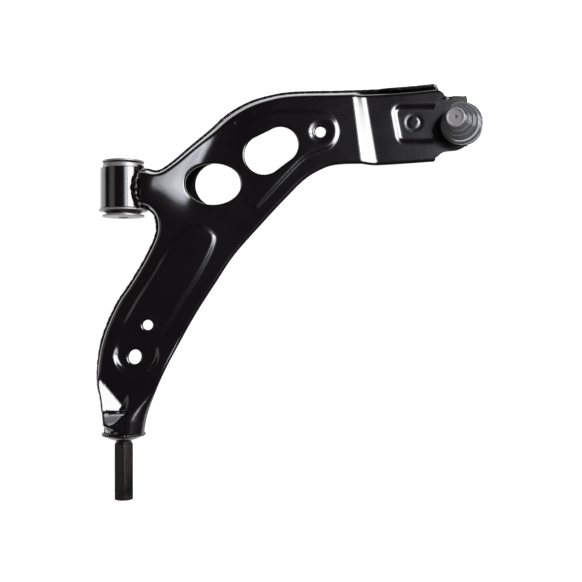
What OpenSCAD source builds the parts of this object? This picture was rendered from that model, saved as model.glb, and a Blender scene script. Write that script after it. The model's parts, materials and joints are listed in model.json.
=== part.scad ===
// Front suspension control arm: two pressed shells welded edge to edge, a front bush in an
// eye tube, a hexagonal rear pin and a ball joint under a push-on transport cap.
//
// The origin is the centre of the front bush on its axis. +X points outboard towards the
// ball joint, +Y runs forward along the axis of the bush and the rear pin, and +Z is up.

/* [Pressed shells] */
// Thickness of the sheet of both shells
sheet = 3; // [2.5:0.1:3.2]
// Height of the flat web above and below the bush axis
web_height = 15; // [14:0.5:17]
// Height of the neck where it laps the eye tube
neck_height = 19; // [18:0.5:20]
// Height of the upper shell's end plate beside the ball joint
end_height = 8; // [7:0.5:10]
// Depth of the lower shell's floor under the ball joint
floor_depth = 12; // [11:0.5:13]
// How far each shell's side wall runs past the mid plane
wall_lap = 4; // [3:0.5:4.5]
// Depth of the pressed panels below the web around them
panel_depth = 2.5; // [1.5:0.5:3]

/* [Front bush] */
// Outer radius of the eye tube
eye_r = 24.1; // [24:0.1:24.3]
// Length of the eye tube
eye_length = 43; // [40:1:44]
// Radius of the bolt hole through the inner sleeve
bolt_r = 6.1; // [5.1:0.1:7.1]
// Length of the inner sleeve between its clamped ends
sleeve_length = 60; // [58:1:64]
// Radius of the steel discs at the ends of the inner sleeve
disc_r = 22; // [20:0.5:23]

/* [Rear pin] */
// Width across the flats of the hexagonal pin
hex_flats = 19; // [17:1:21]
// Distance from the bush centre back to the start of the hexagon
hex_start = 267; // [266:1:270]
// Distance from the bush centre back to the tip of the pin
hex_end = 325; // [310:1:340]

/* [Ball joint] */
// Radius of the ball
ball_r = 11; // [10.8:0.05:11]
// Tilt of the stud towards the bush, away from upright
stud_tilt = 20; // [0:1:28]
// Radius of the stud's threaded end
thread_r = 6; // [5:0.5:6.5]

/* [Transport cap] */
// Wall thickness of the plastic cap
cap_wall = 1.5; // [1:0.1:1.7]
// Radius of the cap's bottom rim
cap_rim_r = 22.2; // [21.5:0.1:22.5]

/* [Hidden] */

gap = 0.4;                       // air between the two shells' side walls
lap = sheet + gap;               // how far the inner wall stands inside the outer one
eye_bore_r = 21.5;               // bore of the eye tube
outer_sleeve_r = eye_bore_r - 0.05;
inner_sleeve_r = 10;
rubber_gap = 0.3;                // air that lets the inner sleeve turn in the rubber
boss_r = 22.8;                   // half-round shell ends around the pin
boss_bore_r = 19.2;
boss_front = -231;               // the boss runs from here back to boss_back
boss_back = -256;
boss_joint = 3;                  // how far the boss runs into the leg
shank_r = 11.8;
ball_centre = [360, 65.5, -4];
housing_r = 17.5;
housing_top = 7;                 // above the ball centre
lip_height = 4.5;                // underside of the lip that holds the ball, above its centre
cap_base = 15;                   // distances along the stud from the ball centre
cap_tip = 52;
smooth = 96;                     // facets on round parts

// Outline of the arm, seen from above. Each side runs clockwise, so its left is outside.
front_side = [
    [8, 21.4], [24, 21.8], [37, 20], [51, 28.7], [70, 44.8], [91, 62.2], [109, 78.2],
    [131, 91], [154, 98.2], [180, 102], [232, 103], [273, 104.4], [302, 106.3], [327, 108.6]
];
rear_side = [
    [326, 26], [267, 22.5], [248, 23.4], [224, 22.5], [209, 18.2], [191, 7.5], [171, -12],
    [147, -37.5], [118, -70], [99, -98], [77, -132], [59, -164], [44.5, -192], [34, -216],
    [26.5, -237], [25, -256]
];
inner_side = [
    [-20.4, -256], [-21, -238], [-23.6, -220], [-27, -205], [-27, -186], [-24, -164],
    [-17.5, -143], [-5.5, -118], [7, -99.5], [21.5, -75.5], [32.5, -53], [35, -40],
    [32.5, -29], [24, -21.4], [8, -21.3]
];
upper_end = [[332, 106], [338, 99], [332.5, 93], [327, 80], [325, 66], [325.5, 46], [328.5, 27.5]];
lower_end = [
    [332, 106], [338.5, 98.5], [348, 96.3], [360, 95], [364.5, 91], [365, 50], [361.5, 44.5],
    [353, 40.5], [339, 38.8], [332.5, 34]
];

function along(p, i) = p[max(0, min(len(p) - 1, i))];

// A smooth curve through the points p, with n steps between each pair.
function curve_point(a, b, c, d, t) = 0.5 * (
    2 * b + (c - a) * t + (2 * a - 5 * b + 4 * c - d) * t * t + (3 * b - a - 3 * c + d) * t * t * t
);
function curve(p, n = 3) = concat(
    [for (i = [0 : len(p) - 2], k = [0 : n - 1])
        curve_point(along(p, i - 1), p[i], p[i + 1], along(p, i + 2), k / n)],
    [p[len(p) - 1]]
);

// The curve p moved to its left by d, square to itself.
function left_of(v) = [-v[1], v[0]] / norm(v);
function shifted(p, d) = [
    for (i = [0 : len(p) - 1]) p[i] + d * left_of(along(p, i + 1) - along(p, i - 1))
];

function oval(c, rx, ry, turn = 0, n = 72) = [
    for (i = [0 : n - 1]) let (a = i * 360 / n)
        c + [rx * cos(a) * cos(turn) - ry * sin(a) * sin(turn),
             rx * cos(a) * sin(turn) + ry * sin(a) * cos(turn)]
];

// Closed outline with the three sides moved outwards by their own distance. When open is
// over 0 the three open ends are pushed that far past the shell.
module outline(front_out, rear_out, inner_out, end_points, open = 0) {
    polygon(concat(
        open > 0 ? [[-open, 21.4 + front_out]] : [],
        shifted(curve(front_side), front_out),
        open > 0 ? [[420, 108.6 + front_out], [420, 26 + rear_out]] : end_points,
        shifted(curve(rear_side), rear_out),
        open > 0 ? [[25 + rear_out, -256 - open], [-20.4 - inner_out, -256 - open]] : [],
        shifted(curve(inner_side), inner_out),
        open > 0 ? [[-open, -21.4 - inner_out]] : []
    ));
}

// Everything above the shell's outer skin when that skin is lowered by drop. plate_top is
// the height of the skin past the slanted step near the ball joint.
module above_skin(drop, plate_top) {
    far = 60;
    rotate([90, 0, 0]) translate([0, 0, -150]) linear_extrude(500)
        polygon([
            [-60, neck_height - drop], [36, neck_height - drop], [72, web_height - drop],
            [450, web_height - drop], [450, far], [-60, far]
        ]);
    rotate([90, 0, 90]) translate([0, 0, -60]) linear_extrude(130)
        polygon([
            [-300, 20 - drop], [-232, 20 - drop], [-196, web_height - drop],
            [-48, web_height - drop], [-21, neck_height - drop], [-21, far], [-300, far]
        ]);
    step = (web_height - plate_top) / tan(25);
    translate([245, 62, 0]) rotate([90, 0, 7]) translate([0, 0, -70]) linear_extrude(140)
        polygon([
            [0, web_height - drop], [step, plate_top - drop], [200, plate_top - drop],
            [200, far], [0, far]
        ]);
}

// Flat panels pressed into the web: each is an outline and the height of its floor.
main_panel = concat(
    curve([[140, -22], [168, 8], [189, 29], [203, 36.5]], 3),
    [for (a = [-60 : 15 : 90]) [205, 57.4] + 20 * [cos(a), sin(a)]],
    curve([[180, 79], [158, 77], [135, 68], [118, 54], [121, 30], [122, 5], [126, -16]], 3)
);
leg_panel = concat(
    curve([[85, -40.5], [93, -47], [96, -57], [84, -84], [62, -120], [40, -155]], 3),
    [for (a = [10 : -20 : -170]) [15.5, -171.5] + 22 * [cos(a), sin(a)]],
    curve([[-2, -150], [16, -118], [34, -90], [52, -60], [70, -42]], 3)
);
end_panel = [[281, 84], [330, 84], [330, 45], [290, 45]];

module panels(drop, plate_top, grow) {
    for (p = [[main_panel, web_height], [leg_panel, web_height], [end_panel, plate_top]])
        translate([0, 0, p[1] - panel_depth - drop]) linear_extrude(60)
            polygon(grow ? grown(p[0]) : p[0]);
}
function middle(p) = [for (k = [0, 1]) (min([for (q = p) q[k]]) + max([for (q = p) q[k]])) / 2];
function winding(p) = sign([for (i = [0 : len(p) - 1])
    let (a = p[i], b = p[(i + 1) % len(p)]) a[0] * b[1] - a[1] * b[0]] *
    [for (q = p) 1]);
function grown(p) = [
    for (i = [0 : len(p) - 1])
        let (a = p[(i + len(p) - 1) % len(p)], b = p[(i + 1) % len(p)])
        p[i] - winding(p) * sheet * left_of(b - a)
];

module web_holes(big_round) {
    translate([0, 0, -60]) {
        if (big_round) translate([98.6, 5.1, 0]) cylinder(h = 120, r = 24, $fn = smooth);
        else linear_extrude(120) polygon(oval([95.5, 2.5], 29, 22.4));
        linear_extrude(120) polygon(concat(
            [for (a = [-50 : 10 : 120]) [165.5, 43.6] + 18.6 * [cos(a), sin(a)]],
            [for (a = [120 : 10 : 310]) [148.6, 33.4] + 20.5 * [cos(a), sin(a)]]
        ));
        translate([207.3, 56.9, 0]) cylinder(h = 120, r = 5.5, $fn = 48);
        translate([27.4, -142.9, 0]) cylinder(h = 120, r = 5.2, $fn = 48);
        linear_extrude(120) polygon(oval([13.8, -175.8], 6.5, 7.6, -15, 48));
    }
}

// A cylinder about the Y axis from y0 to y1.
module along_y(r, y0, y1, sides = smooth) {
    translate([0, y0, 0]) rotate([-90, 0, 0]) cylinder(h = y1 - y0, r = r, $fn = sides);
}

// One pressed shell, open downwards, before the lower one is turned over.
module shell(front_out, rear_out, inner_out, end_points, plate_top, big_round, panelled) {
    difference() {
        union() {
            difference() {
                translate([0, 0, -wall_lap]) linear_extrude(wall_lap + neck_height + 1)
                    outline(front_out, rear_out, inner_out, end_points);
                above_skin(0, plate_top);
                translate([-60, boss_back - 10, -40]) cube([120, boss_front - boss_back + 10, 80]);
                if (panelled) panels(0, plate_top, false);
                difference() {
                    translate([0, 0, -wall_lap - 1]) linear_extrude(wall_lap + neck_height + 2)
                        outline(front_out - sheet, rear_out - sheet, inner_out - sheet, [], 30);
                    above_skin(sheet, plate_top);
                    if (panelled) panels(sheet, plate_top, true);
                }
            }
            along_y(boss_r, boss_back, boss_front + boss_joint);
        }
        along_y(boss_bore_r, boss_back - 5, boss_front + boss_joint + 0.01);
        along_y(eye_r + 0.1, -40, 40);
        translate([-60, boss_back - 1, -40 + gap / 2])
            cube([120, boss_front + boss_joint - boss_back + 1.01, 40]);
        web_holes(big_round);
    }
}

module upper_shell() {
    color([0.1, 0.09, 0.11])
        shell(-lap, 0, -lap, upper_end, end_height, false, true);
}

module lower_shell() {
    color([0.08, 0.07, 0.09]) difference() {
        mirror([0, 0, 1]) shell(0, -lap, 0, lower_end, floor_depth, true, false);
        translate([ball_centre[0], ball_centre[1], -40])
            cylinder(h = 60, r = housing_r, $fn = smooth);
    }
}

// A weld bead laid along one side, from inner to outer off that side's line.
module seam(side, z0, z1) {
    color([0.14, 0.13, 0.14]) translate([0, 0, z0]) linear_extrude(z1 - z0)
        polygon(concat(
            shifted(side, -0.8),
            [for (i = [len(side) - 1 : -1 : 0]) shifted(side, -lap + 0.05)[i]]
        ));
}
function part_of(p, first, last) = [for (i = [first : last]) p[i]];

module front_seam_weld() {
    line = curve(front_side);
    seam(part_of(line, 6, len(line) - 3), wall_lap + 0.05, wall_lap + 2.4);
}
module inner_seam_weld() {
    line = curve(inner_side);
    seam(part_of(line, 6, len(line) - 7), wall_lap + 0.05, wall_lap + 2.4);
}
module rear_seam_weld() {
    line = curve(rear_side);
    seam(part_of(line, 2, len(line) - 6), -wall_lap - 2.4, -wall_lap - 0.05);
}

module eye_tube() {
    color([0.09, 0.08, 0.1]) difference() {
        along_y(eye_r, -eye_length / 2, eye_length / 2);
        along_y(eye_bore_r, -eye_length, eye_length);
    }
}

module eye_welds() {
    meet = sqrt(eye_r * eye_r - neck_height * neck_height);
    color([0.12, 0.11, 0.12]) for (side = [0, 1]) mirror([0, 0, side]) difference() {
        translate([meet, 0, neck_height + 0.1]) rotate([90, 0, 0])
            translate([0, 0, -19]) linear_extrude(38)
                polygon([[-4, 0], [5.5, 0], [1.5, 2.3], [-3, 3.5]]);
        along_y(eye_r + 0.1, -40, 40);
    }
}

module bush_outer_sleeve() {
    color("silver") difference() {
        union() {
            along_y(outer_sleeve_r, -eye_length / 2 - 2, 26);
            along_y(25.3, -eye_length / 2 - 2, -eye_length / 2 - 0.05);
        }
        along_y(outer_sleeve_r - 1.8, -40, 40);
    }
}

module bush_rubber() {
    color([0.06, 0.06, 0.06]) difference() {
        along_y(outer_sleeve_r - 1.85, -25.5, 26.5);
        along_y(inner_sleeve_r + rubber_gap, -40, 40);
    }
}

module bush_inner_sleeve() {
    color("silver") difference() {
        along_y(inner_sleeve_r, -sleeve_length / 2, sleeve_length / 2);
        along_y(bolt_r, -sleeve_length, sleeve_length);
    }
}

module end_disc(outer_face) {
    thick = 1.8 * sign(outer_face);
    color([0.8, 0.79, 0.8]) difference() {
        along_y(disc_r, min(outer_face - thick, outer_face), max(outer_face - thick, outer_face));
        along_y(inner_sleeve_r + 0.02, -60, 60);
    }
}
module bush_front_disc() { end_disc(sleeve_length / 2); }
module bush_rear_disc() { end_disc(-sleeve_length / 2); }

module rear_pin() {
    chamfer = 2;
    hex_r = hex_flats / sqrt(3);
    color([0.2, 0.17, 0.16]) union() {
        along_y(shank_r, -262, -205);
        along_y(8, -hex_start - 1, -261);
        intersection() {
            translate([0, -hex_end, 0]) rotate([-90, 0, 0]) rotate([0, 0, 10])
                cylinder(h = hex_end - hex_start, r = hex_r, $fn = 6);
            rotate([90, 0, 0]) rotate_extrude($fn = smooth)
                polygon([
                    [0, hex_start - 1], [hex_r + 1, hex_start - 1], [hex_r + 1, hex_end - chamfer],
                    [hex_r - chamfer, hex_end], [0, hex_end]
                ]);
        }
    }
}

module pin_collar() {
    dome_r = 27.4;
    dome_y = -237.4;
    color([0.1, 0.09, 0.1]) difference() {
        intersection() {
            along_y(boss_bore_r - 0.05, -262.4, -236);
            translate([0, dome_y, 0]) sphere(r = dome_r, $fn = smooth);
        }
        along_y(shank_r + 0.02, -280, -200);
    }
}

module pin_weld() {
    color([0.14, 0.13, 0.14]) difference() {
        along_y(boss_r - 0.6, boss_back - 2.3, boss_back - 0.05);
        along_y(boss_bore_r + 0.05, -280, -200);
    }
}

module at_ball() { translate(ball_centre) children(); }
module along_stud() { at_ball() rotate([0, -stud_tilt, 0]) children(); }
module disc(r, z0, z1) { translate([0, 0, z0]) cylinder(h = z1 - z0, r = r, $fn = smooth); }

module joint_housing() {
    bore_r = 13.2;
    color([0.16, 0.15, 0.16]) at_ball() difference() {
        union() {
            disc(housing_r - 0.03, -20, housing_top);
            disc(19.8, -floor_depth + sheet - ball_centre[2] + 0.05, -2);
        }
        disc(bore_r, -21, lip_height);
        translate([0, 0, lip_height - 0.01]) cylinder(h = 3, r1 = 10.5, r2 = 13, $fn = smooth);
    }
}

module joint_cover() {
    color([0.3, 0.29, 0.3]) at_ball() disc(13.1, -20, -16.5);
}

module joint_liner() {
    color([0.85, 0.84, 0.78]) at_ball() difference() {
        disc(13.1, -16.4, lip_height - 0.1);
        sphere(r = ball_r + 0.15, $fn = smooth);
        disc(10.3, 3, 10);
        disc(5, -20, 0);
    }
}

module boot_base_ring() {
    color([0.05, 0.05, 0.05]) at_ball() difference() {
        disc(16.4, housing_top + 0.05, 9.4);
        disc(13.2, 0, 20);
    }
}

module boot_clamp_ring() {
    color("silver") at_ball() difference() {
        disc(17.2, housing_top + 0.1, 8.7);
        disc(16.45, 0, 20);
    }
}

// A band of a hollow ball between two angles from the stud's axis.
module ball_band(r0, r1, angle0, angle1) {
    steps = 8;
    rotate_extrude($fn = smooth) polygon(concat(
        [for (i = [0 : steps]) let (a = angle0 + (angle1 - angle0) * i / steps) r1 * [sin(a), cos(a)]],
        [for (i = [steps : -1 : 0]) let (a = angle0 + (angle1 - angle0) * i / steps) r0 * [sin(a), cos(a)]]
    ));
}

module boot_lower_fold() {
    color([0.06, 0.06, 0.06]) along_stud() ball_band(19.8, 21, 36, 60);
}

module boot_upper_fold() {
    color([0.06, 0.06, 0.06]) along_stud() {
        ball_band(21.5, 22.7, 25, 50);
        difference() {
            disc(11.2, 19.9, 23.2);
            disc(8.9, 10, 30);
        }
    }
}

module boot_neck_clip() {
    color("silver") along_stud() difference() {
        disc(12.1, 21.7, 22.9);
        disc(11.25, 10, 30);
    }
}

module ball_stud() {
    color([0.5, 0.5, 0.52]) along_stud() union() {
        sphere(r = ball_r, $fn = smooth);
        rotate_extrude($fn = smooth) polygon([
            [0, 0], [5, 0], [5, 13], [5.5, 17], [8.4, 23], [8.4, 25], [7, 36], [0, 36]
        ]);
        disc(thread_r, 35, 49);
    }
}

module transport_cap() {
    // height above the ball centre and outer radius of each step, from the rim to the tip
    steps = [[cap_base, cap_rim_r], [cap_base + 2, 20.4], [26.5, 16.5], [34, 13], [42, 9.8]];
    color([0.75, 0.76, 0.8, 0.6]) along_stud() difference() {
        union() {
            for (i = [0 : len(steps) - 1])
                disc(steps[i][1], steps[i][0], i < len(steps) - 1 ? steps[i + 1][0] : cap_tip);
        }
        for (i = [0 : len(steps) - 1])
            disc(
                steps[i][1] - cap_wall,
                steps[i][0] - (i == 0 ? 1 : cap_wall),
                (i < len(steps) - 1 ? steps[i + 1][0] : cap_tip) - cap_wall + 0.001
            );
    }
}

upper_shell();
lower_shell();
front_seam_weld();
inner_seam_weld();
rear_seam_weld();
eye_tube();
eye_welds();
bush_outer_sleeve();
bush_rubber();
bush_inner_sleeve();
bush_front_disc();
bush_rear_disc();
rear_pin();
pin_collar();
pin_weld();
joint_housing();
joint_cover();
joint_liner();
boot_base_ring();
boot_clamp_ring();
boot_lower_fold();
boot_upper_fold();
boot_neck_clip();
ball_stud();
transport_cap();
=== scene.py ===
import json
import math

import bmesh
import bpy
import numpy as np
from mathutils import Matrix, Vector, noise
from mathutils.geometry import delaunay_2d_cdt


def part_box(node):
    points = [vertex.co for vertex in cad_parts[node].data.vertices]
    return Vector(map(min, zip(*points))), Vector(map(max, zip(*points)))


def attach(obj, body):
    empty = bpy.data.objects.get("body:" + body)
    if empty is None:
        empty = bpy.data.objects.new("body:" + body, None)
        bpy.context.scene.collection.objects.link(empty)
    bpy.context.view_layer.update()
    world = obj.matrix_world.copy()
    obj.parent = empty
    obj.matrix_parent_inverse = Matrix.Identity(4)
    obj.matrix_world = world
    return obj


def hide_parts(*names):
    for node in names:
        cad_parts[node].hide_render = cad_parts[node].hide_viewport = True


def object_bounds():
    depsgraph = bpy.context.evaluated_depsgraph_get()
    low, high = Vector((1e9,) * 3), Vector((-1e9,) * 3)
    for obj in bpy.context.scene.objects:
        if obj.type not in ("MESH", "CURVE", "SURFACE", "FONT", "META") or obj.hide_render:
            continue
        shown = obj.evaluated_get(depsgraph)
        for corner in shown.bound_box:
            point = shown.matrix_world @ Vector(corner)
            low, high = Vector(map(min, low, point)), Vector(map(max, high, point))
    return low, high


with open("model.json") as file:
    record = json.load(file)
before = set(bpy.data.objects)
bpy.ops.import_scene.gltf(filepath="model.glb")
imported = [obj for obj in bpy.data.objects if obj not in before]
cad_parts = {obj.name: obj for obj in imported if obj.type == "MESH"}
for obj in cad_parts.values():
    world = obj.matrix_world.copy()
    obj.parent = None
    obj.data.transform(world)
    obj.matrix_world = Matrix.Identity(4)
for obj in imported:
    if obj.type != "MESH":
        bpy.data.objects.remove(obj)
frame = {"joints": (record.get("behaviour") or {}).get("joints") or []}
CAD_BOX = [list(corner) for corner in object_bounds()]

bl_info = {
    "name": "Suspension control arm",
    "version": (1, 0, 0),
    "blender": (4, 5, 0),
    "location": "3D View > Sidebar > Control arm",
    "description": "Builds the visible pieces, finishes and stage of a pressed control arm",
    "category": "Object",
}

MM = 0.001
JOINTS = {joint["name"]: joint for joint in frame["joints"]}
BALL = Vector(JOINTS["stud_spin"]["pos_m"])
STUD_AXIS = Vector(JOINTS["stud_spin"]["axis"]).normalized()
TUBE_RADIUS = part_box("eye_tube")[1].z / MM
TUBE_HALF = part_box("eye_tube")[1].y / MM
SLEEVE_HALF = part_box("bush_inner_sleeve")[1].y / MM
PIN_TIP = -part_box("rear_pin")[0].y / MM
BOSS_TOP = 22.8
FLOOR_HEIGHT = CAD_BOX[0][2]
STAGE_CENTRE = Vector((0.17, -0.1, 0))


# ---------------------------------------------------------------- plan outlines, in mm

# Each side of the arm runs clockwise seen from above, so its left is outside.
FRONT_SIDE = [
    (19.5, 21.6), (26, 21.6), (37, 20), (51, 28.7), (70, 44.8), (91, 62.2), (109, 78.2),
    (131, 91), (154, 98.2), (180, 102), (232, 103), (273, 104.4), (302, 106.3), (327, 108.6),
]
REAR_SIDE = [
    (326, 26), (267, 22.5), (248, 23.4), (224, 22.5), (209, 18.2), (191, 7.5), (171, -12),
    (147, -37.5), (118, -70), (99, -98), (77, -132), (59, -164), (44.5, -192), (34, -216),
    (26.5, -237), (23, -256),
]
INNER_SIDE = [
    (-20.4, -256), (-21.4, -238), (-23.8, -220), (-27, -205), (-27, -186), (-24, -164),
    (-17.5, -143), (-5.5, -118), (7, -99.5), (21.5, -75.5), (32.5, -53), (35, -40),
    (32.5, -29), (26, -22.6), (19.5, -21.3),
]
FRONT_CORNER = [(332, 107.5), (337, 101.5), (342, 99.6)]
UPPER_END = [
    (333, 100.5), (337.5, 95.8), (332.4, 91.1), (326.3, 80.7), (323.7, 73), (323.9, 61),
    (325.6, 52), (326.3, 40), (327.5, 28),
]
LOWER_END = [
    (348, 98.8), (360, 98.4), (364.5, 94.5), (365, 50), (361.5, 44.5), (353, 40.5), (339, 38.8),
    (332.5, 34),
]


def point_at(points, i):
    """A point of the list, or its first or last one past either end."""
    return np.array(points[max(0, min(len(points) - 1, i))], float)


def spline(points, spacing=1.6):
    """A smooth open curve through the points, with a vertex about every spacing."""
    result = []
    for i in range(len(points) - 1):
        a, b, c, d = (point_at(points, i + k) for k in (-1, 0, 1, 2))
        steps = max(1, round(np.linalg.norm(c - b) / spacing))
        for t in np.arange(steps) / steps:
            result.append(0.5 * (
                2 * b + (c - a) * t + (2 * a - 5 * b + 4 * c - d) * t**2
                + (3 * b - a - 3 * c + d) * t**3
            ))
    return np.array(result + [point_at(points, len(points) - 1)])


def to_left(line):
    """The unit vector to the line's left at each of its points."""
    step = np.gradient(line, axis=0)
    step /= np.linalg.norm(step, axis=1)[:, None]
    return np.column_stack((-step[:, 1], step[:, 0]))


def shifted(line, out):
    """The open line moved to its left by out, square to itself."""
    return line + out * to_left(line)


def arc(centre, radius, start, end, count):
    """Points on a circle between two angles in degrees."""
    turn = np.radians(np.linspace(start, end, count))
    return np.array(centre) + radius * np.column_stack((np.cos(turn), np.sin(turn)))


def ellipse(centre, wide, high, turn, count):
    """A closed oval from its two half widths, turned by an angle in degrees."""
    a = np.linspace(0, 2 * math.pi, count, endpoint=False)
    c, s = math.cos(math.radians(turn)), math.sin(math.radians(turn))
    x, y = wide * np.cos(a), high * np.sin(a)
    return np.array(centre) + np.column_stack((x * c - y * s, x * s + y * c))


SMALL_CENTRE, LEG_CENTRE, SLOT_CENTRE = (207.3, 56.9), (27.4, -142.9), (13.8, -175.8)
DIMPLE_CENTRE = (305.4, 67.5)
DENT_CENTRES = ((120.8, 66.2), (139.9, 76.9))
LARGE_HOLE = ellipse((95.5, 3.4), 29, 21.4, 0, 110)
LARGE_HOLE_BELOW = ellipse((98.6, 5.5), 24, 23.3, 0, 100)
LONG_HOLE = np.vstack((
    arc((165.5, 43.6), 18.6, -58, 122, 40), arc((148.6, 33.4), 20.5, 122, 302, 44),
))
# The lower shell's holes are larger, so that the upper rims show whole.
LONG_HOLE_BELOW = LONG_HOLE.mean(0) + 1.12 * (LONG_HOLE - LONG_HOLE.mean(0)) + (-0.5, 3.5)
SMALL_HOLE = ellipse(SMALL_CENTRE, 5.5, 5.5, 0, 36)
LEG_HOLE = ellipse(LEG_CENTRE, 5.2, 5.2, 0, 36)
LEG_SLOT = ellipse(SLOT_CENTRE, 6.5, 7.6, -15, 40)
SMALL_HOLES_BELOW = [
    ellipse(SMALL_CENTRE, 10, 10, 0, 44), ellipse(LEG_CENTRE, 10.5, 10.5, 0, 44),
    ellipse(SLOT_CENTRE, 12, 13, -15, 48),
]

MAIN_PANEL = np.vstack((
    spline([(140, -22), (168, 8), (189, 29), (203, 36.5)]),
    arc((205, 57.4), 20, -60, 90, 30),
    spline([(180, 79), (158, 77), (135, 68), (118, 54), (121, 30), (122, 5), (126, -16)]),
))
LEG_PANEL = np.vstack((
    spline([(85, -40.5), (93, -47), (96, -57), (84, -84), (62, -120), (40, -155)]),
    arc((15.5, -171.5), 22, 10, -170, 34),
    spline([(-2, -150), (16, -118), (34, -90), (52, -60), (70, -42)]),
))
END_PANEL = np.vstack((
    [(345, 84.0)], arc((291.8, 77), 7, 90, 180, 8), arc((295.8, 54.5), 7, 180, 270, 8),
    [(345, 47.5)],
))
END_PANEL_EDGE = np.vstack([
    np.linspace(a, b, 2 + int(np.hypot(*(b - a)) / 2), endpoint=False)
    for a, b in zip(END_PANEL, np.roll(END_PANEL, -1, 0))
])


def line_distance(points, line, closed):
    """Distance of each point from the line, worked out in batches to save memory."""
    batch = 4000
    a = line
    b = np.roll(line, -1, axis=0)
    if not closed:
        a, b = a[:-1], b[:-1]
    best = np.full(len(points), 1e9)
    for start in range(0, len(points), batch):
        p = points[start:start + batch, None, :]
        d = b - a
        t = np.clip(((p - a) * d).sum(2) / np.maximum((d * d).sum(1), 1e-12), 0, 1)
        gap = p - (a + t[..., None] * d)
        best[start:start + batch] = np.sqrt((gap * gap).sum(2)).min(1)
    return best


def inside(points, outline):
    """Which points are inside a closed outline."""
    x, y = points[:, 0], points[:, 1]
    result = np.zeros(len(points), bool)
    for a, b in zip(outline, np.roll(outline, -1, axis=0)):
        crosses = (a[1] > y) != (b[1] > y)
        run = (b[0] - a[0]) * (y - a[1]) / ((b[1] - a[1]) or 1e-12) + a[0]
        result ^= crosses & (x < run)
    return result


def depth_inside(points, outline):
    """Signed distance, positive inside the closed outline."""
    away = line_distance(points, outline, True)
    return np.where(inside(points, outline), away, -away)


def smooth(value, low, high):
    """0 up to low, 1 from high, eased between."""
    t = np.clip((value - low) / (high - low), 0, 1)
    return t * t * (3 - 2 * t)


def ramp(value, length, ease):
    """0 before 0 and 1 past length, straight between, with both corners eased."""
    def area(t):
        t = np.maximum(t, 0)
        return np.where(t < length, t * t / (2 * length), t - length / 2)
    return (area(value + ease) - area(value - ease)) / (2 * ease)


# ---------------------------------------------------------------- mesh helpers

def new_object(name, bm, body, *nodes):
    """Make the piece, let it ride on its body and replace the named CAD nodes."""
    mesh = bpy.data.meshes.new(name)
    bm.to_mesh(mesh)
    bm.free()
    piece = bpy.data.objects.new(name, mesh)
    bpy.context.scene.collection.objects.link(piece)
    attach(piece, body)
    if nodes:
        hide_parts(*nodes)
    return piece


def shade(bm, sharp_degrees=40):
    """Shade smooth, with the edges past the angle left sharp."""
    limit = math.radians(sharp_degrees)
    bmesh.ops.recalc_face_normals(bm, faces=bm.faces)
    for face in bm.faces:
        face.smooth = True
    for edge in bm.edges:
        edge.smooth = len(edge.link_faces) == 2 and edge.calc_face_angle(0) < limit


def bridge(bm, rings, closed, skip=()):
    """Join each ring of vertices to the next, then close the loop or cap both its ends."""
    for near, far in zip(rings, rings[1:] + (rings[:1] if closed else [])):
        for i in range(len(near)):
            j = (i + 1) % len(near)
            if i not in skip:
                bm.faces.new((near[i], near[j], far[j], far[i]))
    if not closed:
        bm.faces.new(list(reversed(rings[0])))
        bm.faces.new(rings[-1])


def even_normals(piece):
    piece.modifiers.new("even_normals", "WEIGHTED_NORMAL").keep_sharp = True


def rounded(corners, segments=4):
    """A closed profile from (radius, height, fillet) corners, with each corner rounded."""
    result = []
    for i, (r, h, fillet) in enumerate(corners):
        here = Vector((r, h))
        back = Vector(corners[i - 1][:2]) - here
        ahead = Vector(corners[(i + 1) % len(corners)][:2]) - here
        if fillet <= 0:
            result.append(here)
            continue
        half = back.angle(ahead) / 2
        cut = min(fillet / math.tan(half), back.length * 0.45, ahead.length * 0.45)
        start, end = here + back.normalized() * cut, here + ahead.normalized() * cut
        for k in range(segments + 1):
            t = k / segments
            result.append(start * (1 - t)**2 + here * 2 * t * (1 - t) + end * t * t)
    return result


def lathe(name, profile, place, body, nodes, finish_of, segments=96):
    """A solid of revolution: a closed profile in mm turned about the place's own Z."""
    bm = bmesh.new()
    rings = []
    for k in range(segments):
        a = 2 * math.pi * k / segments
        rings.append([
            bm.verts.new(place @ Vector((r * math.cos(a), r * math.sin(a), h))) for r, h in profile
        ])
    on_axis = [corner[0] < 1e-6 for corner in profile]
    bridge(bm, rings, True, [i for i in range(len(profile))
                             if on_axis[i] and on_axis[(i + 1) % len(profile)]])
    bmesh.ops.remove_doubles(bm, verts=bm.verts, dist=1e-7)
    bmesh.ops.dissolve_degenerate(bm, edges=bm.edges, dist=1e-8)
    shade(bm)
    piece = new_object(name, bm, body, *nodes)
    even_normals(piece)
    return dress(piece, finish_of)


def frame_at(origin, axis):
    """A place in metres whose Z lies along axis, for profiles in mm."""
    turn = Vector(axis).to_track_quat("Z", "Y").to_matrix().to_4x4()
    return Matrix.Translation(origin) @ turn @ Matrix.Scale(MM, 4)


ALONG_Y = frame_at((0, 0, 0), (0, 1, 0))
BACK_Y = frame_at((0, 0, 0), (0, -1, 0))
ON_HOUSING = frame_at(BALL, (0, 0, 1))
ON_STUD = frame_at(BALL, STUD_AXIS)


def at(value, points):
    """A setting that may be one number or a function of the points."""
    return value(points) if callable(value) else np.full(len(points), float(value))


BEND_RINGS = (0.35, 0.8, 1.4, 2.1, 3.0, 4.0, 5.2)     # finer faces this far from a wall
RIM_RINGS = (0.3, 0.7, 1.2, 1.8, 2.6, 3.6)            # and this far from a hole
PITCH, FINE_PITCH = 1.9, 1.1                          # the faces' size, and at the pin end
PIN_END = (-24, 36, -256, -198)                       # the finer area: x range and y range
WALL_STEPS = 8


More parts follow.
